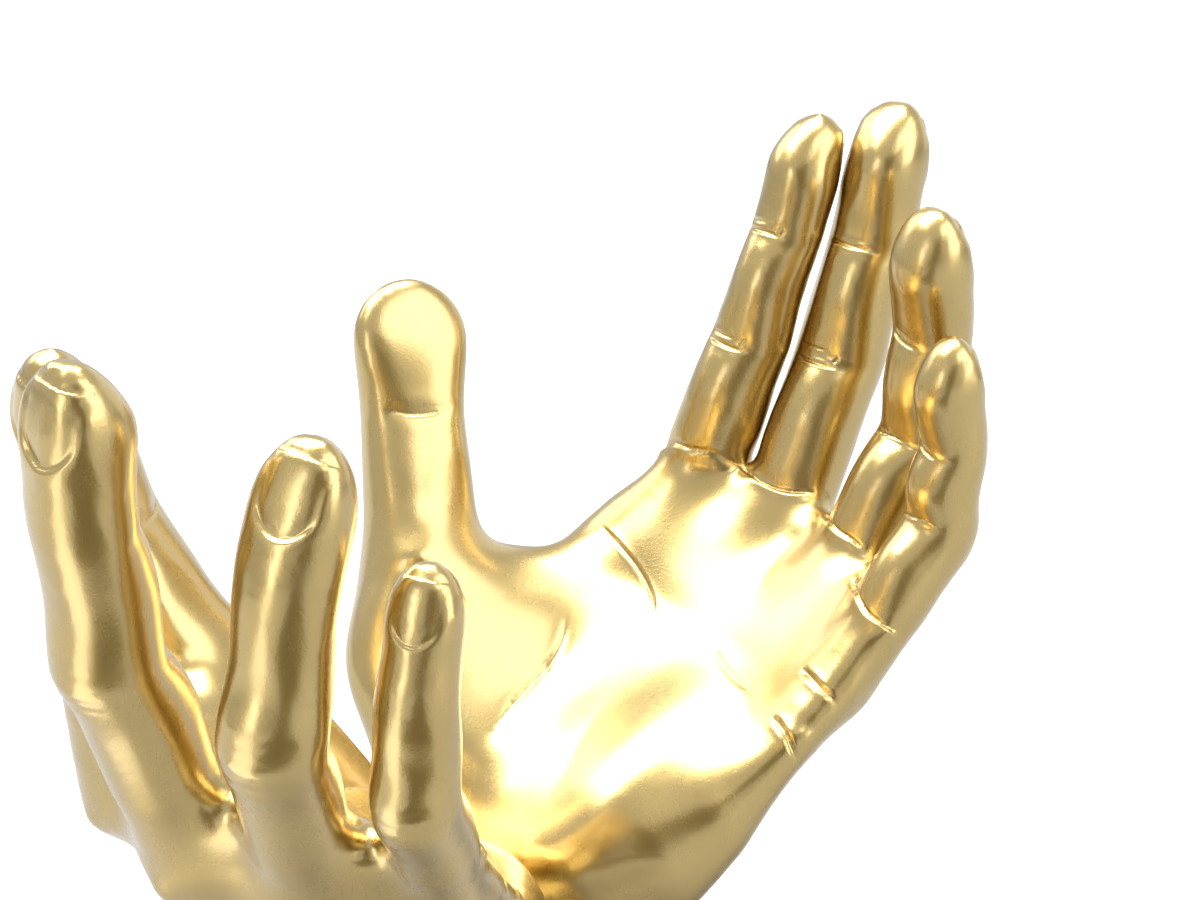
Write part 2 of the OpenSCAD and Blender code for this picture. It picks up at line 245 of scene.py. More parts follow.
def digitPlaces(places, name):
    # for every vertex: mm along a digit, sideways, out of its pad and from its skin
    axis = axes[name]
    low, high = axis["mid"].min(0) - nearDigit, axis["mid"].max(0) + nearDigit
    close = np.flatnonzero(((places > low) & (places < high)).all(1))
    count = len(places)
    found = {"s": np.full(count, -9.0), "side": np.zeros(count), "out": np.zeros(count),
             "reach": np.full(count, farAway), "width": np.ones(count), "ray": np.zeros((count, 3)),
             "outWay": np.zeros((count, 3)), "alongWay": np.zeros((count, 3))}
    for part in np.array_split(close, max(1, len(close) // batch)):
        gap = ((places[part, None, :] - axis["mid"][None]) ** 2).sum(2)
        at = gap.argmin(1)
        offset = places[part] - axis["mid"][at]
        ahead = (offset * axis["along"][at]).sum(1)
        ray = offset - ahead[:, None] * axis["along"][at]
        width, outWay = axis["halfWidth"][at], axis["out"][at]
        here = {"s": axis["s"][at] + ahead, "side": offset @ axis["side"], "out": (offset * outWay).sum(1),
                "reach": np.sqrt(gap.min(1)) - width, "width": width, "outWay": outWay,
                "ray": ray / (np.linalg.norm(ray, axis=1)[:, None] + 1e-6), "alongWay": axis["along"][at]}
        for key, value in here.items():
            found[key][part] = value
    return found


def allDigits(places):
    # all the digits' measures, with each vertex's share in a digit and in its pad, back and sides
    found = {name: digitPlaces(places, name) for name in axes}
    for name in axes:
        others = np.min([found[n]["reach"] for n in axes if n != name], axis=0)
        d = found[name]
        d["flat"] = np.column_stack([d["side"], d["s"]])
        d["own"] = ease((others - d["reach"]) / ownSoft) * (d["reach"] < ownReach)
        away = np.hypot(d["side"], d["out"]) + 1e-6
        d["padShare"] = np.maximum(d["out"] / away, 0) ** 2
        d["backShare"] = np.maximum(-d["out"] / away, 0) ** 2
        d["sideShare"] = 1 - d["padShare"] - d["backShare"]
        d["innerShare"] = d["sideShare"] * (d["side"] < 0)
        d["outerShare"] = d["sideShare"] * (d["side"] > 0)
    return found


def lineGap(places, points):
    # seen from above: distance from a broken line, share of the way along it and side of it
    places, points = places[:, :2], np.array(points, float)
    best, share, hand = np.full(len(places), 1e9), np.zeros(len(places)), np.ones(len(places))
    lengths = np.linalg.norm(np.diff(points, axis=0), axis=1)
    before = np.concatenate([[0], np.cumsum(lengths)])
    for k in range(len(points) - 1):
        leg = points[k + 1] - points[k]
        offset = places - points[k]
        t = np.clip((offset @ leg) / (leg @ leg), 0, 1)
        gap = np.linalg.norm(offset - t[:, None] * leg, axis=1)
        better = gap < best
        best[better] = gap[better]
        share[better] = (before[k] + t[better] * lengths[k]) / before[-1]
        hand[better] = np.sign(leg[0] * offset[better, 1] - leg[1] * offset[better, 0] + 1e-9)
    return best, share, hand


def bowed(points, steps=8):
    # smooth curve through a few points
    points = np.array(points, float)
    padded = np.vstack([2 * points[0] - points[1], points, 2 * points[-1] - points[-2]])
    curve = []
    for k in range(1, len(padded) - 2):
        p0, p1, p2, p3 = padded[k - 1:k + 3]
        for t in np.linspace(0, 1, steps, endpoint=False):
            curve.append(0.5 * (2 * p1 + (p2 - p0) * t + (2 * p0 - 5 * p1 + 4 * p2 - p3) * t * t
                                + (3 * p1 - p0 - 3 * p2 + p3) * t ** 3))
    return np.array(curve + [points[-1]])


def bell(x):
    return np.exp(-x * x)


def softPart(x, soft):
    # what of x is above nought, with a soft start
    return soft * np.logaddexp(0, x / soft)


# Rough form of the left hand; the right one is its mirror image

casting = {
    "voxel": 0.00125,  # metres
    "fingerGap": 1.3,  # mm cut free between the index and middle fingers
    "gapSpan": (12, 106, 3),  # mm along the index finger: the cut's start, end and step
    "gapHalf": 14,  # mm by which the cut reaches to either side
    "spread": 3.0,  # mm by which the index finger is held away while the hand is remeshed
    "tipAway": 2.0,  # mm of that by which its tip then stays away
    "flat": 0.0007,  # metres from the seam or the foot's rim within which vertices are laid on it
    "bores": (0.031, 0.037),  # metres: radius and height of the foot that stays as cast
    "keepSize": (0.5, -0.51),  # factors of a smoothing that doesn't shrink
}

# rounds of smoothing, in the order of their use
rounds = {"all": 24, "ball": 260, "roots": 30, "cutTips": 40, "thumb": 50, "thumbTip": 28, "indexTip": 24,
          "shaped": 3, "plate": 50, "filledBall": 120, "webs": 60}

# pushes with a soft edge: place, way, mm and radius
handPushes = [
    ((-46, 10, 22), (-0.66, -0.69, 0.29), 5.5, 17),  # base of the thumb
    ((-41, 66, 8), (-0.95, 0.0, 0.3), 4.5, 14),  # web to the index finger
    ((-39, 55, 13), (-0.49, 0.69, 0.54), 3.0, 9),
    ((43, 46, 5), (-0.9, 0.0, 0.3), 3.4, 24),  # edge of the heel
]

# swellings of the digits: mm along, height and radius; the inner side is the thumb's
digitSwells = {
    "index": {
        "pad": [(84, 0.5, 6), (68.5, -0.7, 3), (57, 0.5, 7), (43.5, -0.7, 3), (28, 0.7, 9), (13, -1.0, 3.5)],
        "side": [(70, 0.2, 5), (57, -0.2, 6), (44, 0.2, 6)],
        "back": [(45, 0.8, 6), (58, -0.5, 6), (71, 0.4, 5), (79, -0.4, 4)],
        "inner": [(86, 1.2, 10)],
        "outer": [(24, 1.2, 14), (48, 0.4, 14), (86, 0.4, 9)],
    },
    "middle": {
        "pad": [(94, 0.5, 6), (74.5, -0.7, 3), (61, 0.5, 7), (47, -0.7, 3), (31, 0.7, 9), (14, -1.0, 3.5)],
        "side": [(77, 0.2, 5), (63, -0.2, 6), (48, 0.2, 6)],
        "back": [(49, 0.8, 6), (63, -0.5, 6), (78, 0.4, 5), (97, -1.0, 8)],
        "inner": [(30, 1.0, 16), (60, 1.6, 18), (96, 3.4, 16)],
        "outer": [(94, -0.6, 16)],
    },
    "ring": {
        "pad": [(86, 0.6, 6), (69, -0.9, 3.4), (57, 0.7, 6), (43.5, -0.9, 3.4), (28, 0.8, 9), (14, -0.9, 3.5)],
        "side": [(86, -0.8, 9), (58, -0.4, 7), (45, 0.2, 7)],
        "back": [(46, 0.8, 7), (59, -0.6, 6), (88, -1.6, 10)],
        "inner": [(84, 1.6, 14)],
        "outer": [(50, 1.8, 14), (86, 1.0, 14)],
    },
    "little": {
        "pad": [(69, 0.6, 6), (55.5, -0.9, 3.2), (47, 0.6, 5), (39.5, -0.9, 3.2), (24, 0.7, 8),
                (12, -0.9, 3.5)],
        "side": [(66, -1.0, 9), (47, -0.2, 5), (37, 0.3, 6)],
        "back": [(70, -1.5, 10), (37, 0.8, 6), (47, -0.5, 5)],
    },
    "thumb": {
        "pad": [(101, 0.9, 7), (75, 2.0, 26), (50, 1.8, 7), (40, 0.6, 12)],
        "side": [(102, 3.2, 11), (75, 0.8, 28)],
        "back": [(84, 0.8, 7), (75, 0.8, 28), (66, -0.6, 8), (50, 1.0, 9)],
    },
}

# flat on each fingertip: starts this far from the tip, leans by degrees and takes this share off
tipFlats = {
    "index": {"from": 9, "lean": 48, "share": 0.18, "longer": 1.2},  # mm that the smoothing takes back
    "middle": {"from": 9.5, "lean": 48, "share": 0.28},
    "ring": {"from": 7, "lean": 44, "share": 0.15},
    "little": {"from": 6.5, "lean": 44, "share": 0.15},
}
tipForm = {
    "edge": 1.1,  # mm over which a flat runs out into the round skin
    "high": 0.85,  # share of the half width at which a flat starts
    "reach": 30,  # mm from the tip to which flats go at most
    "longer": (18, 14),  # a longer tip starts this far from its end, over this length
    "root": (8, 8),  # swellings start this far along a digit, over this length
}

# broad flat along the thumb's pad, turned by degrees, that leans back over the tip
thumbFlat = {
    "from": 48,
    "over": 16,
    "between": (60, 84),
    "level": (0.9, 0.66),  # share of the half width at either end of that stretch
    "turn": -8,
    "share": 0.75,
    "edge": 2.2,
    "tip": {"from": 18, "over": 8, "lean": 53, "share": 0.85, "edge": 4.0, "longer": 1.6, "fade": (5, 1.3)},
}

# swellings of the palm: across, along, radius and height in mm
palmMounds = [
    (-20.5, 88, 5.5, -1.8),  # between the index and middle fingers' roots
    (0.5, 88, 6, -2.6),  # between the middle and ring fingers' roots
    (-25, 60, 6, -0.5),
    (-36, 38, 15, 1.4),  # ball of the thumb
    (2, 40, 15, 2.2),  # middle of the palm
    (3, 24, 13, 2.4),
]

# webs between the digits: across, along and radius
webSpots = [(-20, 98, 3.5), (1.5, 100.5, 5.5), (21, 92, 6), (-40, 56, 9)]

# plate below the fingers, filled up to a slope that ends at their folds
palmPlate = {
    "across": (-40, -29, -20, -9, 1, 14, 24, 33, 40),
    "start": 60,
    "low": (9.5, 11.7, 10.2, 9.8, 10.4, 12.3, 14.9, 18.2, 19.5),
    "fold": (89, 91, 96.5, 96.8, 101, 96, 89, 84.2, 83.5),
    "high": (13.5, 19, 15.5, 15.4, 13, 19, 18.8, 24.2, 24.4),
    "soft": 0.7,
    "edge": 50,  # mm to either side within which the lines are known
    "blur": (0.5, 12, 5),  # mm: step, reach and width of the lines' smoothing
}
fillMost = 8  # mm
fillBelow = 9  # what lies deeper than this isn't filled


def fillUp(lack, soft, within):
    return np.clip(softPart(lack, soft), 0, fillMost) * within * (lack < fillBelow)


def plateFill(places):
    # mm to fill up to the plate, and how far the plate counts at each place
    step, reach, width = palmPlate["blur"]
    grid = np.arange(-palmPlate["edge"], palmPlate["edge"] + step / 2, step)
    spread = bell(np.arange(-reach, reach + step, step) / width)
    lines = []
    for key in ("low", "fold", "high"):
        line = np.pad(np.interp(grid, palmPlate["across"], palmPlate[key]), int(reach / step), mode="edge")
        smooth = np.convolve(line, spread / spread.sum(), mode="valid")
        lines.append(np.interp(places[:, 0], grid, smooth))
    low, fold, high = lines
    share = (places[:, 1] - palmPlate["start"]) / (fold - palmPlate["start"])
    within = ease(share / 0.25) * ease((fold - places[:, 1] + 0.6) / 1.2) * ease((places[:, 0] + 42) / 6)
    return fillUp(low + (high - low) * share - places[:, 2], palmPlate["soft"], within), within


def pushHand(places):
    moved = places.copy()
    for at, way, move, radius in handPushes:
        gap = np.linalg.norm(places - np.array(at, float), axis=1)
        moved += move * bell(gap / radius)[:, None] * unit(np.array(way, float))
    return moved


def leanCut(d, name, flat, out):
    # push by which a flat leans back over a digit's tip
    lean = radians(flat["lean"])
    past = d["s"] - axes[name]["length"]
    over = (past + flat["from"]) * cos(lean) + (out - tipForm["high"] * d["width"]) * sin(lean)
    cut = flat["share"] * softPart(over, flat.get("edge", tipForm["edge"]))
    cut *= d["own"] * (past > -tipForm["reach"])
    return -cut[:, None] * (cos(lean) * d["alongWay"] + sin(lean) * d["outWay"])


def lengthen(d, name, flat):
    # push that makes a digit's tip longer
    start, over = tipForm["longer"]
    longer = flat.get("longer", 0) * ease((d["s"] - axes[name]["length"] + start) / over) * d["own"]
    return longer[:, None] * d["alongWay"]


def shapeDigits(places):
    digits = allDigits(places)
    moved = places.copy()
    start, over = tipForm["root"]
    for name, swells in digitSwells.items():
        d = digits[name]
        rise = np.zeros(len(places))
        for where, spots in swells.items():
            for at, high, radius in spots:
                rise += high * bell((d["s"] - at) / radius) * d[where + "Share"]
        moved += (rise * ease((d["s"] - start) / over) * d["own"])[:, None] * d["ray"]
        if name in tipFlats:
            moved += leanCut(d, name, tipFlats[name], d["out"]) + lengthen(d, name, tipFlats[name])
    return moved


def flattenThumb(places):
    d = allDigits(places)["thumb"]
    turn = radians(thumbFlat["turn"])
    level = np.interp(d["s"], thumbFlat["between"], thumbFlat["level"]) * d["width"]
    over = d["out"] * cos(turn) + d["side"] * sin(turn) - level
    cut = thumbFlat["share"] * softPart(over, thumbFlat["edge"])
    cut *= ease((d["s"] - thumbFlat["from"]) / thumbFlat["over"]) * d["own"]
    way = cos(turn) * d["outWay"] + sin(turn) * axes["thumb"]["side"]
    tip = thumbFlat["tip"]
    below, width = tip["fade"]
    out = d["out"] - cut
    fade = ease((out + below) / (width * d["width"]))
    fade *= ease((d["s"] - axes["thumb"]["length"] + tipForm["reach"]) / tip["over"])
    tipCut = leanCut(d, "thumb", tip, out) * fade[:, None]
    return places - cut[:, None] * way + tipCut + lengthen(d, "thumb", tip)


# knuckles and cords on the back of the hand: height and radius in mm
backForm = {
    "knuckle": (1.4, 7),
    "cord": (0.9, 2.6),
    "cordStart": (0.35, 22),  # share of the knuckle's place across, and mm along the hand
    "cordFade": 0.5,
}
palmSkin = 4  # mm over which the palm's face passes into its back


def flatGap(places, at):
    return np.linalg.norm(places[:, :2] - np.array(at, float), axis=1)


def palmShare(places, normals, start, over):
    # one on the palm's face, nought on the back of the hand
    return ease((normals[:, 2] - start) / over) * ease((places[:, 2] + palmSkin) / palmSkin)


def shapePalm(places, normals):
    facing = palmShare(places, normals, 0.1, 0.4)
    rise = np.zeros(len(places))
    for across, along, radius, high in palmMounds:
        rise += high * bell(flatGap(places, (across, along)) / radius) * facing
    gap, share, hand = lineGap(places, bowed(thenarEdge["line"]))
    fade = ease((share - 0.1) / 0.35) * ease((1 - share) / 0.2) * facing
    step = np.where(hand > 0, bell(gap / thenarEdge["palmSide"]), bell(gap / thenarEdge["thumbSide"]))
    rise -= thenarEdge["deep"] * fade * step
    dorsal = ease((-normals[:, 2] - 0.1) / 0.4)
    across, along = backForm["cordStart"]
    for place in palmShape["knucklesAcross"]:
        top = knuckle(place)[:2]
        high, radius = backForm["knuckle"]
        rise += high * dorsal * bell(flatGap(places, top) / radius)
        high, radius = backForm["cord"]
        cord, share, hand = lineGap(places, [(across * top[0], along), top])
        rise += high * dorsal * bell(cord / radius) * ease(share / backForm["cordFade"])
    filled = places.copy()
    for fill in (plateFill(places)[0], thenarFill(places)):
        filled[:, 2] += fill * facing
    return filled + rise[:, None] * normals


# ball of the thumb: it rises from a crease, which is steeper on the palm's side
thenarEdge = {
    "line": [(-35, 54), (-28.5, 50.5), (-24.3, 46.5), (-20.8, 42), (-19, 37), (-17.5, 28), (-14, 17),
             (-10.5, 8)],
    "low": [16.5, 15, 14, 13.2, 13, 14.5, 17, 18.6],  # how far the crease lies out of the palm
    "rise": 7.0,
    "reach": 8.0,
    "soft": 0.8,
    "deep": 1.1,
    "palmSide": 1.6,
    "thumbSide": 6.5,
}


def thenarFill(places):
    # mm to fill up to the ball of the thumb
    gap, share, hand = lineGap(places, bowed(thenarEdge["line"]))
    legs = np.linalg.norm(np.diff(np.array(thenarEdge["line"]), axis=0), axis=1)
    knots = np.concatenate([[0], np.cumsum(legs)])
    low = np.interp(share, knots / knots[-1], thenarEdge["low"])
    lack = low + thenarEdge["rise"] * (1 - np.exp(-gap / thenarEdge["reach"])) - places[:, 2]
    within = (hand < 0) * ease(gap / 2) * ease((20 - gap) / 6) * ease(share / 0.12) * ease((1 - share) / 0.12)
    return fillUp(lack, thenarEdge["soft"], within)


# Fine marks: half width and depth of a groove in mm, and the line that it follows

palmMarks = [
    (0.42, 0.45, [(-37.6, 67.6), (-28.7, 66.3), (-21.5, 64.9), (-15.3, 62.3), (-8.7, 57.5)]),
    (0.7, 0.25, [(4.9, 61.4), (15.5, 58.2), (23.9, 57.5)]),
    (0.7, 0.3, [(-24.3, 46.5), (-20.8, 42), (-19, 37), (-17.5, 28), (-14, 17)]),
    (0.6, 0.6, [(29.4, 67.3), (36.9, 66), (41.5, 66.2)]),
    (0.6, 0.7, [(31.9, 55.7), (37.6, 54.2), (42.5, 51.8)]),
]

# folds at the fingers' roots: the palm's side has a rim, the finger's side lies lower
rootFolds = [
    (0.45, 0.55, [(-40.5, 88.8), (-36.4, 90.3), (-28.5, 91.3), (-23.4, 94.3), (-19, 97.4)]),
    (0.45, 0.55, [(-20.5, 96.8), (-11, 96.6), (-5.8, 98.3), (-1.5, 102.3)]),
    (0.45, 0.5, [(3, 99.5), (11.6, 96), (17.2, 96), (20.7, 96.3)]),
    (0.45, 0.5, [(23, 89.5), (31.6, 84.6), (36.2, 83.3), (40.5, 84)]),
]

# creases of the fingers as side and length along the finger
fingerMarks = {
    "index": [
        (0.34, 0.3, [(-7.5, 69.3), (-3, 70.3), (0.5, 71)]),
        (0.38, 0.5, [(-8, 67.2), (-0.8, 68.6), (4, 68.7)]),
        (0.3, 0.22, [(1.2, 69.4), (2.2, 71.6)]),
        (0.3, 0.2, [(2.6, 69.2), (3.4, 71.0)]),
        (0.34, 0.3, [(-6, 43.9), (1.5, 44.8)]),
        (0.38, 0.5, [(-7, 42.3), (1, 42.7), (5, 43.2)]),
        (0.3, 0.22, [(2.4, 43.6), (3.4, 46)]),
    ],
    "middle": [
        (0.38, 0.45, [(-8, 73.4), (1.2, 73.8), (6, 74)]),
        (0.34, 0.28, [(-7.5, 48.9), (1.5, 49.4)]),
        (0.38, 0.5, [(-8, 45.4), (0, 45.4), (5, 45.8)]),
        (0.3, 0.22, [(2.4, 46.4), (3.6, 49)]),
    ],
    "ring": [
        (0.4, 0.5, [(-6, 69.6), (-2, 68.8), (4, 68.2)]),
        (0.34, 0.26, [(-5, 71.4), (1, 70.6)]),
        (0.4, 0.5, [(-7, 41.9), (1, 44.2), (5, 44.2)]),
        (0.34, 0.26, [(-5, 44.2), (0, 46)]),
    ],
    "little": [
        (0.36, 0.42, [(-5.5, 56.3), (1.2, 55), (4, 54.9)]),
        (0.32, 0.26, [(-4.5, 57.9), (1, 56.8)]),
        (0.4, 0.5, [(-6.5, 38.2), (2.4, 40.5), (6, 39.6)]),
    ],
    "thumb": [
        (1.9, 0.35, [(-9, 84), (-3, 83), (3, 83), (9, 84.4)]),
        (0.5, 0.2, [(-6, 82.8), (-1, 82.2), (5, 82.6)]),
    ],
}

# wrinkles over the backs of the finger joints: places along from the joint
backWrinkles = {"joints": {1: (-3.0, -1.0, 1.0, 3.0), 2: (-1.1, 0.9)}, "half": 0.6, "deep": 0.09}

nailShapes = {
    "index": {"width": 10.4, "length": 12.0, "ahead": 4.0, "fold": 0.75},
    "middle": {"width": 11.4, "length": 13.2, "ahead": 2.8},
    "ring": {"width": 11.0, "length": 13.4, "ahead": 2.6},
    "little": {"width": 8.4, "length": 10.8, "ahead": 2.0, "fold": 0.6},
    "thumb": {"width": 15.0, "length": 16.0, "ahead": 3.2},
}

# mm; a second number on the first line adds to the first at the root, below it says over what length
nailForm = {
    "edge": (0.9, -0.4), "edgeSoft": (1.8, -0.9), "dip": (0.28, 0.32), "fold": (0.22, 0.14),
    "dipOver": 1.8, "foldAt": (1.1, 2.2), "foldFrom": (0.3, 3.5), "lift": (0.15, 4), "under": (0.5, 1.3),
    "underSide": (0.8, 1.6), "root": (0.55, 0.35), "taper": 0.04, "bow": 0.1, "back": 0.3,
}


def nailEdge(d, name):
    # distance from a nail's outline, negative on the nail, and distance ahead of its free edge
    nail = nailShapes[name]
    front = axes[name]["length"] - nail["ahead"]
    half = nail["width"] / 2
    x, y = np.abs(d["side"]), d["s"] - front + nail["length"]
    sides = np.where(y < half, np.hypot(x, y - half) - half, x - half + nailForm["taper"] * (y - half))
    ahead = d["s"] - front + nailForm["bow"] * x * x / half
    return np.maximum(sides, ahead), ahead


# shares of a line over which a groove starts and ends; height of its lip, and place in half widths
grooveForm = {"start": 0.2, "end": 0.3, "lip": 0.12, "lipAt": 2.3}


def groove(gap, share, half, deep):
    fade = ease(share / grooveForm["start"]) * ease((1 - share) / grooveForm["end"])
    lip = grooveForm["lip"] * bell((gap - grooveForm["lipAt"] * half) / half)
    return deep * fade * (lip - bell(gap / half))


# share that fades at either end; rim's height, place and width; depth and reach of the finger's side
foldForm = {"ends": 0.15, "rim": (0.2, 1.0, 0.9), "low": (0.55, 3.0)}


def carveFolds(places, facing):
    rise = np.zeros(len(places))
    high, at, width = foldForm["rim"]
    depth, reach = foldForm["low"]
    for half, deep, line in rootFolds:
        gap, share, hand = lineGap(places, bowed(line))
        fade = ease(share / foldForm["ends"]) * ease((1 - share) / foldForm["ends"]) * facing
        rim = high * bell((gap - at) / width) * (hand < 0)
        low = depth * np.exp(-gap / reach) * (hand > 0)
        rise += deep * fade * (rim - low - bell(gap / half))
    return rise


def carveWrinkles(digits):
    rise = np.zeros(len(digits["index"]["s"]))
    for name in fingerNames:
        d = digits[name]
        share = d["side"] / d["width"]
        back = d["own"] * ease((-d["out"] / d["width"] - 0.2) / 0.3) * ease((0.8 - np.abs(share)) / 0.4)
        for joint, lines in backWrinkles["joints"].items():
            for off in lines:
                bow = 0.9 * np.sign(off) * share * share + 0.25 * np.sin(4 * share + 2 * off)
                gap = d["s"] - axes[name]["joints"][joint] - off - bow
                rise -= backWrinkles["deep"] * back * bell(gap / backWrinkles["half"])
    return rise


def carveMarks(places, normals, digits):
    facing = palmShare(places, normals, 0.05, 0.3)
    rise = carveFolds(places, facing * ease((normals[:, 2] - 0.35) / 0.3)) + carveWrinkles(digits)
    for half, deep, line in palmMarks:
        gap, share, hand = lineGap(places, bowed(line))
        rise += groove(gap, share, half, deep) * facing
    for name, marks in fingerMarks.items():
        d = digits[name]
        pad = d["own"] * ease((d["out"] / d["width"] + 0.1) / 0.3)
        for half, deep, line in marks:
            gap, share, hand = lineGap(d["flat"], bowed(line))
            rise += groove(gap, share, half, deep) * pad
    return rise


def carveNails(digits):
    rise = np.zeros(len(digits["index"]["s"]))
    for name, nail in nailShapes.items():
        d = digits[name]
        edge, ahead = nailEdge(d, name)
        start, over = nailForm["root"]
        root = ease((-ahead - start * nail["length"]) / (over * nail["length"]))
        pairs = [nailForm[key] for key in ("edge", "edgeSoft", "dip", "fold")]
        rim, soft, dip, high = (pair[0] + pair[1] * root for pair in pairs)
        start, over = nailForm["foldFrom"]
        folded = ease((-ahead - start) / over)  # the fold runs round the nail but not over its free edge
        onNail = ease((rim - edge) / soft)
        lift, over = nailForm["lift"]
        plate = lift * ease((ahead + over) / over)
        plate -= dip * np.exp(np.minimum(edge, 0) / nailForm["dipOver"]) * folded
        at, width = nailForm["foldAt"]
        fold = high * bell((np.maximum(edge, 0) - at) / width) * folded
        deep, over = nailForm["under"]
        under = -deep * np.exp(-np.maximum(ahead, 0) / over) * (ahead > 0)
        past, over = nailForm["underSide"]
        under *= ease((nail["width"] / 2 + past - np.abs(d["side"])) / over)
        back = d["own"] * ease(-d["out"] / d["width"] / nailForm["back"])
        rise += nail.get("fold", 1) * back * (onNail * plate + (1 - onNail) * (fold + under))
    return rise


def markGap(places, normals, digits):
    # distance in mm from the nearest fine mark
    best = np.full(len(places), farAway)
    up = np.where((normals[:, 2] > -0.1) & (places[:, 2] > -1.5 * palmSkin), 0, farAway)
    for half, deep, line in palmMarks + rootFolds:
        best = np.minimum(best, lineGap(places, bowed(line))[0] + up)
    for name in axes:
        d = digits[name]
        away = np.where(d["own"] > 0.1, 0, farAway)
        onPad, onBack = np.where(d["out"] > -1, 0, farAway), np.where(d["out"] < 0.5, 0, farAway)
        for half, deep, line in fingerMarks.get(name, []):
            best = np.minimum(best, lineGap(d["flat"], bowed(line))[0] + away + onPad)
        best = np.minimum(best, np.abs(nailEdge(d, name)[0]) + away + onBack)
        if name in fingerNames:
            gap = np.abs(d["s"] - axes[name]["joints"][1]) - 2.5  # the wrinkles over the middle joint
            onBack = np.where(d["out"] < -0.3 * d["width"], 0, farAway)
            best = np.minimum(best, np.maximum(gap, 1.3) + away + onBack)
    return best


def freeFingers(piece):
    # cuts a thin gap between the index and middle fingers, which the casting joins
    index, middle = axes["index"], axes["middle"]
    rings = []
    for s in range(*casting["gapSpan"]):
        k = min(int(s / axisStep), len(index["s"]) - 1)
        past = max(0, s - index["length"])
        here = index["mid"][k] + past * index["along"][k]
        j = ((middle["mid"] - here) ** 2).sum(1).argmin()
        across = unit(middle["mid"][j] - here)
        share = index["halfWidth"][k] / (index["halfWidth"][k] + middle["halfWidth"][j])
        centre = here + (middle["mid"][j] - here) * share
        up = np.cross(across, index["along"][k]) * casting["gapHalf"]
        thick = across * casting["fingerGap"] / 2
        rings.append([centre + up + thick, centre + up - thick, centre - up - thick, centre - up + thick])
    points = fromHand(np.array(rings).reshape(-1, 3))
    count = len(rings)
    faces = [(0, 1, 2, 3), tuple(4 * count - k for k in (1, 2, 3, 4))]
    for r in range(count - 1):
        faces += [(4 * r + k, 4 * r + 4 + k, 4 * r + 4 + (k + 1) % 4, 4 * r + (k + 1) % 4) for k in range(4)]
    data = bpy.data.meshes.new("finger_gap")
    data.from_pydata(points.tolist(), [], faces)
    cutter = newObject("finger_gap", data)
    editAll(cutter)
    bpy.ops.mesh.normals_make_consistent(inside=False)
    setMode("OBJECT")
    applyModifier(piece, "BOOLEAN", operation="DIFFERENCE", object=cutter, solver="EXACT")
    bpy.data.objects.remove(cutter)


def moveIndex(piece, root, tip):
    # moves the index finger and its centre line sideways by so many mm
    bone = digitShapes["index"]["bones"][0]

    def shift(s):
        return root * ease((s - rootAt) / 30) + (tip - root) * ease((s - bone) / bone)

    places = toHand(readPoints(piece))
    d = digitPlaces(places, "index")
    own = (d["reach"] < digitPlaces(places, "middle")["reach"]) * ease((9 - d["reach"]) / 5)
    places[:, 0] += own * shift(d["s"])
    axes["index"]["mid"][:, 0] += shift(axes["index"]["s"])
    writePoints(piece, fromHand(places))


def laySeam(piece, rim):
    # lays vertices on the seam and the foot's rim; returns one for each that may move, else nought
    points = readPoints(piece)
    flat = casting["flat"]
    points[:, 0] = np.where(points[:, 0] < flat, 0, points[:, 0])
    points[:, 2] = np.where(points[:, 2] < rim + flat, rim, points[:, 2])
    writePoints(piece, points)
    mergePoints(piece)
    points = readPoints(piece)
    radius, top = casting["bores"]
    bored = (np.hypot(points[:, 0], points[:, 1]) < radius) & (points[:, 2] < top)
    return (~((points[:, 0] < tinyGap) | (points[:, 2] < rim + tinyGap) | bored)).astype(float)


def skin(piece):
    # places and normals in hand coordinates
    return toHand(readPoints(piece)), readNormals(piece) @ handAim


def measure(piece):
    places, normals = skin(piece)
    return places, normals, allDigits(places)


def beyond(d, start, over):
    # how far a vertex belongs to a digit beyond a place along it
    return d["own"] * ease((d["s"] - start) / over)


def calmCasting(piece, free):
    # smooths the ball of the thumb, the fingers' roots, the cut tips and the thumb
    places, normals, digits = measure(piece)
    ball = lineGap(places, [(-36, 50), (-28, 38), (-14, 4)])[0]
    soften(piece, free * ease((26 - ball) / 12) * ease(normals[:, 2] / 0.4), rounds["ball"])
    roots = np.zeros(len(places))
    for name in fingerNames:
        d = digits[name]
        roots = np.maximum(roots, ease((20 - d["s"]) / 8) * (d["reach"] < 9))
    soften(piece, free * roots, rounds["roots"])
    index, middle, thumb = digits["index"], digits["middle"], digits["thumb"]
    sharp = beyond(index, 78, 8) * ease(index["side"] / 5)
    sharp = np.maximum(sharp, beyond(middle, 80, 8) * ease(-middle["side"] / 5))
    soften(piece, free * sharp, rounds["cutTips"])
    soften(piece, free * beyond(thumb, 48, 12) * ease((103 - thumb["s"]) / 10), rounds["thumb"])


def shapeRough(piece, free):
    def place(places):
        writePoints(piece, np.where((free == 0)[:, None], readPoints(piece), fromHand(places)))

    places = flattenThumb(shapeDigits(pushHand(toHand(readPoints(piece)))))
    place(places)
    digits = allDigits(places)
    soften(piece, free * beyond(digits["thumb"], 86, 10), rounds["thumbTip"])
    soften(piece, free * beyond(digits["index"], 82, 8), rounds["indexTip"])
    place(shapePalm(*skin(piece)))
    soften(piece, free, rounds["shaped"], casting["keepSize"])


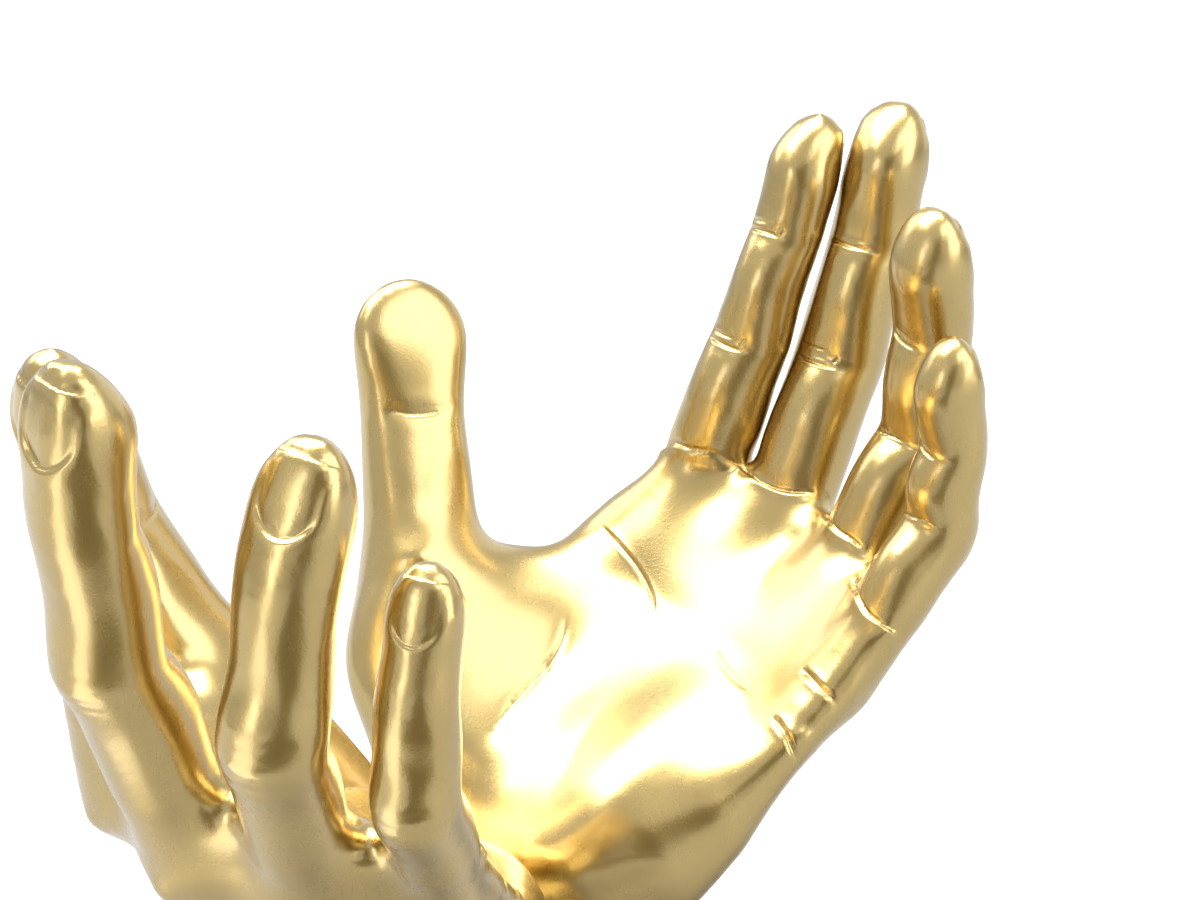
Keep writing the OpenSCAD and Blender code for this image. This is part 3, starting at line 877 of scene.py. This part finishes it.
def calmPalm(piece, free):
    # smooths the plate up to its folds, the ball of the thumb up to its crease, and the webs
    places, normals = skin(piece)
    calm = plateFill(places)[1] * ease(normals[:, 2] / 0.4)
    for half, deep, line in rootFolds:
        calm = calm * ease((lineGap(places, line)[0] - 0.8) / 3)
    soften(piece, free * calm, rounds["plate"])
    places, normals = skin(piece)
    gap, share, hand = lineGap(places, bowed(thenarEdge["line"]))
    calm = ease(normals[:, 2] / 0.4) * ease((26 - gap) / 10) * np.where(hand < 0, 1, ease((8 - gap) / 6))
    calm *= 1 - bell(gap / 2.5) * ease((share - 0.25) / 0.25)
    soften(piece, free * calm, rounds["filledBall"])
    places = toHand(readPoints(piece))
    calm = np.zeros(len(places))
    for across, along, radius in webSpots:
        calm = np.maximum(calm, bell(flatGap(places, (across, along)) / radius))
    soften(piece, free * calm, rounds["webs"])


def carveFine(piece, rim):
    # fine marks, on smaller faces
    for near in (2.3, 1.2):
        refine(piece, markGap(*measure(piece)) < near)
    places, normals, digits = measure(piece)
    rise = carveMarks(places, normals, digits) + carveNails(digits)
    points = readPoints(piece)
    still = (points[:, 0] < 10 * tinyGap) | (points[:, 2] < rim + 10 * tinyGap)
    points += readNormals(piece) * (np.where(still, 0, rise) / 1000)[:, None]
    writePoints(piece, points)


def makeHand(node, name):
    piece = newObject(name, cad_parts[node].data.copy())
    mergePoints(piece)
    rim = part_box(node)[0].z
    spread = casting["spread"]
    freeFingers(piece)
    moveIndex(piece, -spread, -spread)
    applyModifier(piece, "REMESH", mode="VOXEL", voxel_size=casting["voxel"])
    print(name, "remeshed:", len(piece.data.vertices), "vertices")
    free = laySeam(piece, rim)
    soften(piece, free, rounds["all"], casting["keepSize"])
    moveIndex(piece, spread, spread - casting["tipAway"])
    calmCasting(piece, free)
    shapeRough(piece, free)
    calmPalm(piece, free)
    carveFine(piece, rim)
    pickPiece(piece)
    bpy.ops.object.shade_smooth()
    print(name, "carved:", sum(len(p.vertices) - 2 for p in piece.data.polygons), "triangles")
    return piece


def mirrorHand(source, name):
    piece = newObject(name, source.data.copy())
    editAll(piece)
    bpy.ops.transform.resize(value=(-1, 1, 1), center_override=(0, 0, 0))
    bpy.ops.mesh.normals_make_consistent(inside=False)
    setMode("OBJECT")
    return piece


leftHand = makeHand("left_hand", "left_hand_cast")
rightHand = mirrorHand(leftHand, "right_hand_cast")


# Materials

class Wire:
    def __init__(self, tree, socket):
        self.tree, self.socket = tree, socket

    def math(self, operation, other, swapped=False):
        node = self.tree.nodes.new("ShaderNodeMath")
        node.operation = operation
        for k, value in enumerate((other, self) if swapped else (self, other)):
            if isinstance(value, Wire):
                self.tree.links.new(value.socket, node.inputs[k])
            else:
                node.inputs[k].default_value = value
        return Wire(self.tree, node.outputs[0])

    def __add__(self, other):
        return self.math("ADD", other)

    def __rsub__(self, other):
        return self.math("SUBTRACT", other, True)

    def __mul__(self, other):
        return self.math("MULTIPLY", other)

    __radd__, __rmul__ = __add__, __mul__


class Finish:
    def __init__(self, owner):
        # owner: a new material or world
        self.owner = owner
        owner.use_nodes = True
        self.tree = owner.node_tree
        self.tree.nodes.clear()

    def add(self, kind, output=0, settings=None, **inputs):
        # any node but maths; inputs go by name, or by number as i0, i1 and so on
        node = self.tree.nodes.new("ShaderNode" + kind)
        for key, value in (settings or {}).items():
            setattr(node, key, value)
        for key, value in inputs.items():
            byNumber = key[0] == "i" and key[1:].isdigit()
            socket = node.inputs[int(key[1:]) if byNumber else key.replace("_", " ")]
            if isinstance(value, Wire):
                self.tree.links.new(value.socket, socket)
            else:
                socket.default_value = value
        return Wire(self.tree, node.outputs[output])

    def place(self):
        return self.add("TexCoord", "Object")

    def noise(self, scale, detail=2.0, roughness=0.5, stretch=None):
        vector = self.place()
        if stretch:
            vector = self.add("Mapping", Vector=vector, Scale=stretch)
        return self.add("TexNoise", "Fac", Vector=vector, Scale=scale, Detail=detail, Roughness=roughness)

    def blend(self, share, low, high):
        return self.add("Mix", 2, {"data_type": "RGBA"}, i0=share, i6=low, i7=high)

    def end(self, kind, shader):
        node = self.tree.nodes.new("ShaderNodeOutput" + kind)
        self.tree.links.new(shader.socket, node.inputs["Surface"])

    def finish(self, **inputs):
        self.end("Material", self.add("BsdfPrincipled", **inputs))
        return self.owner


def newFinish(name):
    return Finish(bpy.data.materials.new(name))


goldLook = {
    "colour": (0.61, 0.44, 0.135, 1),
    "deep": (0.56, 0.395, 0.105, 1),
    "roughness": (0.2, 0.34),
    "grain": 0.00006,  # height of the fine grain in metres
    "coat": 1.0,  # clear lacquer
    "coatRoughness": 0.2,
    "coatIndex": 1.9,
    "clouds": (60, 3),  # noises: scale, detail, roughness and stretch
    "grains": (1900, 2, 0.6),
    "brush": (420, 3, 0.6, (1, 1, 0.3)),
    "ripples": (1000, 2, 0.5),
}


def goldPaint():
    gold = newFinish("gold_paint")
    noises = ("clouds", "grains", "brush", "ripples")
    cloud, grain, brushed, ripple = (gold.noise(*goldLook[key]) for key in noises)
    low, high = goldLook["roughness"]
    rough = low + (high - low) * (0.55 * cloud + 0.45 * brushed)
    height = 0.45 * grain + 0.3 * brushed + 0.25 * ripple
    normal = gold.add("Bump", Height=height, Distance=goldLook["grain"], Strength=1.0)
    return gold.finish(Base_Color=gold.blend(cloud, goldLook["deep"], goldLook["colour"]), Metallic=1.0,
                       Roughness=rough, Normal=normal, Coat_Weight=goldLook["coat"],
                       Coat_Roughness=goldLook["coatRoughness"], Coat_IOR=goldLook["coatIndex"])


def plainMetal(name, colour, roughness, scale, grain):
    metal = newFinish(name)
    speck = metal.noise(scale, 4, 0.6)
    dark = tuple(0.7 * c for c in colour[:3]) + (1,)
    return metal.finish(Base_Color=metal.blend(speck, dark, colour), Metallic=1.0,
                        Roughness=roughness + 0.2 * speck,
                        Normal=metal.add("Bump", Height=speck, Distance=grain, Strength=1.0))


def mattPaint():
    paint = newFinish("plate_paint")
    speck = paint.noise(900, 4, 0.6)
    return paint.finish(Base_Color=paint.blend(speck, (0.01, 0.01, 0.011, 1), (0.022, 0.022, 0.024, 1)),
                        Roughness=0.5 + 0.2 * speck,
                        Normal=paint.add("Bump", Height=speck, Distance=0.00004, Strength=1.0))


def greenFelt():
    felt = newFinish("felt")
    fibres = felt.noise(1400, 5, 0.7, (1, 1, 3))
    patches = felt.noise(120, 3)
    colour = felt.blend(0.6 * fibres + 0.4 * patches, (0.012, 0.022, 0.014, 1), (0.035, 0.06, 0.04, 1))
    return felt.finish(Base_Color=colour, Roughness=0.95, Sheen_Weight=0.3,
                       Normal=felt.add("Bump", Height=fibres, Distance=0.0002, Strength=1.0))


def wear(piece, material):
    piece.data.materials.clear()
    piece.data.materials.append(material)


gold = goldPaint()
for piece, node in ((leftHand, "left_hand"), (rightHand, "right_hand")):
    wear(piece, gold)
    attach(piece, "root")
    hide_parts(node)

steel = plainMetal("dowel_steel", (0.55, 0.56, 0.58, 1), 0.22, 700, 0.00001)
iron = plainMetal("ballast_iron", (0.16, 0.16, 0.17, 1), 0.5, 500, 0.0001)
brass = plainMetal("insert_brass", (0.72, 0.52, 0.22, 1), 0.25, 900, 0.00001)
zinc = plainMetal("screw_steel", (0.6, 0.61, 0.62, 1), 0.28, 1100, 0.00001)
innerLooks = {"seam_dowels": steel, "left_ballast": iron, "right_ballast": iron, "left_inserts": brass,
              "right_inserts": brass, "base_plate": mattPaint(), "base_screws": zinc, "felt_pad": greenFelt()}
for node, material in innerLooks.items():
    wear(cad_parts[node], material)
print("materials done")


# Studio

studio = {
    "camera": (-0.3792, -0.3543, 0.3318),  # metres
    "heading": 50.13,  # degrees from +Y towards +X
    "tilt": 20.21,  # degrees below the horizon
    "lens": 84.15,  # mm on a 36 mm sensor
    "floor": (0.8, 0.5),  # floor as seen, and in reflections
    "glow": (0.25, 1.0),  # floor's own white, at the statue and far from it
    "glowReach": (0.2, 0.7),  # metres
    "glowMirrored": 0.25,  # share of that white in reflections
    "fill": 0.1,  # world light
    "sky": 0.68,  # world in reflections
    "heart": (0, 0, 0.12),  # what lamps and boards look at
}

# degrees from the camera's side of the statue, distance and height in metres, size and radiance
sideBoxes = {
    "left_strip": {"bearing": -44, "away": 1.1, "height": 0.25, "size": (0.26, 0.8), "radiance": 2.4},
    "right_softbox": {"bearing": 60, "away": 1.1, "height": 0.7, "size": (0.8, 1.5), "radiance": 2.1},
    "back_softbox": {"bearing": -135, "away": 1.15, "height": 0.8, "size": (0.8, 0.6), "radiance": 1.9},
}
topBox = {"place": (-0.084, 0.431, 1.25), "aim": (-0.194, 0.291, 0.12), "size": (1.44, 0.9), "radiance": 6.0}

# boards that only reflections see: glowing planes that light nothing and cast no shadow, so they are painted
# reflections, the dim ones painted dark reflections and the bright ones painted highlights; those without an aim
# look at the statue
# dim glow of the boards that put painted dark reflections on the metal
darkReflectionGlow = (0.25, 0.21, 0.15)
reflectionBoards = {
    # painted dark reflections
    "back_board": {"place": (-0.95, -0.88, 0.45), "size": (0.72, 0.9), "glow": darkReflectionGlow},
    "low_board": {"place": (-0.45, -0.42, 0.01), "size": (0.24, 0.8), "glow": darkReflectionGlow,
                  "aim": (-0.449, -0.419, 0.5)},
    # painted highlights
    "low_strip": {"place": (-0.5, 0.01, 0.01), "size": (0.11, 0.7), "glow": (2, 2, 2),
                  "aim": (-0.499, 0.01, 0.5)},
    "high_card": {"place": (-0.145, -0.75, 0.93), "size": (0.6, 0.48), "glow": (2.9, 2.9, 2.9)},
    "back_card": {"place": (1.2, 0.06, 0.4), "size": (1.4, 0.8), "glow": (1, 1, 1)},
}


def addCamera():
    data = bpy.data.cameras.new("camera")
    data.lens, data.sensor_width = studio["lens"], 36
    data.clip_start, data.clip_end = 0.01, 50
    camera = newObject("camera", data)
    camera.location = studio["camera"]
    camera.rotation_euler = (radians(90 - studio["tilt"]), 0, -radians(studio["heading"]))
    bpy.context.scene.camera = camera


def seenDirectly(look):
    # one for what the camera, a reflection or a clear body sees, else nought
    rays = ("Is Camera Ray", "Is Glossy Ray", "Is Transmission Ray")
    camera, glossy, clear = (look.add("LightPath", ray) for ray in rays)
    return (camera + glossy + clear).math("MINIMUM", 1.0)


def addPlane(name, size):
    bpy.ops.object.select_all(action="DESELECT")
    bpy.ops.mesh.primitive_plane_add(size=size)
    plane = bpy.context.object
    plane.name = name
    return plane


def addFloor():
    floor = addPlane("floor", 12)
    look = newFinish("floor")
    tone, mirrored = studio["floor"]
    speck = look.noise(3, 2)
    shine = look.add("LightPath", "Is Glossy Ray")
    away = look.add("VectorMath", "Value", {"operation": "LENGTH"}, i0=look.place())
    near, far = studio["glowReach"]
    low, high = studio["glow"]
    ramp = {"interpolation_type": "SMOOTHSTEP"}
    glow = look.add("MapRange", 0, ramp, i0=away, i1=near, i2=far, i3=low, i4=high)
    share = seenDirectly(look) * (1 - (1 - studio["glowMirrored"]) * shine)
    white = look.blend(glow * share, (0, 0, 0, 1), (1, 1, 1, 1))
    pale = look.blend(speck, (tone, tone, tone, 1), (tone, tone, tone * 0.99, 1))
    wear(floor, look.finish(Base_Color=look.blend(shine, pale, (mirrored, mirrored, mirrored, 1)),
                            Roughness=0.9, Emission_Color=white, Emission_Strength=1.0))


def aimAt(thing, place, aim):
    # turns a thing so that its lower face looks at the aim
    way = np.array(aim, float) - np.array(place, float)
    thing.location = place
    thing.rotation_euler = (atan2(hypot(way[0], way[1]), -way[2]), 0, atan2(way[1], way[0]) - pi / 2)


def addLamp(name, place, aim, size, radiance):
    data = bpy.data.lights.new(name, "AREA")
    data.shape = "RECTANGLE"
    data.size, data.size_y = size
    data.energy = pi * size[0] * size[1] * radiance
    aimAt(newObject(name, data), place, aim)


# a glowing plane that only reflections see: a painted reflection, which lights nothing and casts no shadow
def addReflectionBoard(name, place, size, glow, aim=studio["heart"]):
    board = addPlane(name, 1)
    board.scale = (size[0], size[1], 1)
    aimAt(board, place, aim)
    board.visible_camera = board.visible_diffuse = board.visible_shadow = board.visible_transmission = False
    look = newFinish(name)
    wear(board, look.finish(Base_Color=(0, 0, 0, 1), Roughness=1.0, Specular_IOR_Level=0.0,
                            Emission_Color=tuple(glow) + (1,), Emission_Strength=1.0))


def addWorld():
    world = bpy.data.worlds.new("studio")
    bpy.context.scene.world = world
    look = Finish(world)
    shine = look.add("LightPath", "Is Glossy Ray")
    strength = seenDirectly(look) * (1 - studio["fill"]) + studio["fill"]
    strength = strength * (1 - (1 - studio["sky"]) * shine)
    look.end("World", look.add("Background", Color=(1, 1, 1, 1), Strength=strength))


addCamera()
addFloor()
addLamp("top_softbox", **topBox)
cameraSide = atan2(studio["camera"][1], studio["camera"][0])
for name, box in sideBoxes.items():
    bearing = cameraSide + radians(box["bearing"])
    place = (box["away"] * cos(bearing), box["away"] * sin(bearing), box["height"])
    addLamp(name, place, studio["heart"], box["size"], box["radiance"])
for name, board in reflectionBoards.items():
    addReflectionBoard(name, **board)
addWorld()
bpy.context.scene.view_settings.view_transform = "Standard"
print("studio done")
